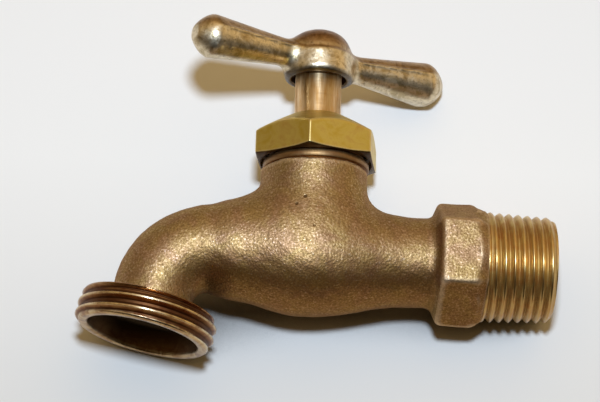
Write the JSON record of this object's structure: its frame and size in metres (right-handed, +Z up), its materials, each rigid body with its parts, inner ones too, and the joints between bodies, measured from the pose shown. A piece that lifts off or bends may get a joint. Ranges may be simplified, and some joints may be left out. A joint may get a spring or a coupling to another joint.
{
  "type": "hose bib",
  "caption": "Outdoor hose tap: threaded inlet with a wrench hexagon, bulbous valve chamber, down-turned threaded spout, hexagonal packing nut, rising stem and tee handle.",
  "frame": {"origin": "on the inlet axis at the outermost full crest of the inlet thread, 1.5 mm in from the end face", "axes": "+X out of the inlet along its axis, +Z up the stem, spout towards -X and down"},
  "size_m": [0.0915, 0.0286, 0.0667],
  "materials": {
    "cast_bronze": "rough sand-cast surface, machined on the threads",
    "nut_brass": "smooth yellow brass, lightly tarnished",
    "turned_brass": "satin turned red brass",
    "worn_nickel": "worn nickel plate with brass showing through",
    "rubber": "smooth black rubber",
    "packing_yarn": "graphited braided packing"
  },
  "bodies": {
    "valve_body": {"body": "cast_bronze", "packing_nut": "nut_brass", "packing_gland": "turned_brass", "packing_ring_upper": "packing_yarn", "packing_ring_lower": "packing_yarn", "packing_washer": "turned_brass"},
    "seat_disc": {"seat_washer": "rubber"},
    "spindle": {"stem": "turned_brass", "washer_screw": "turned_brass", "handle": "worn_nickel"}
  },
  "joints": [
    {"name": "stem_lift", "type": "slide", "parent": "valve_body", "child": "seat_disc", "axis": [0, 0, 1], "range_m": [0, 0.007]},
    {"name": "handle_turn", "type": "hinge", "parent": "seat_disc", "child": "spindle", "pos_m": [-0.0449, 0, 0.04035], "axis": [0, 0, 1], "range_deg": [0, 900]}
  ],
  "couplings": [
    {"joint": "handle_turn", "follows": "stem_lift", "rad_per_m": 2243.9}
  ]
}
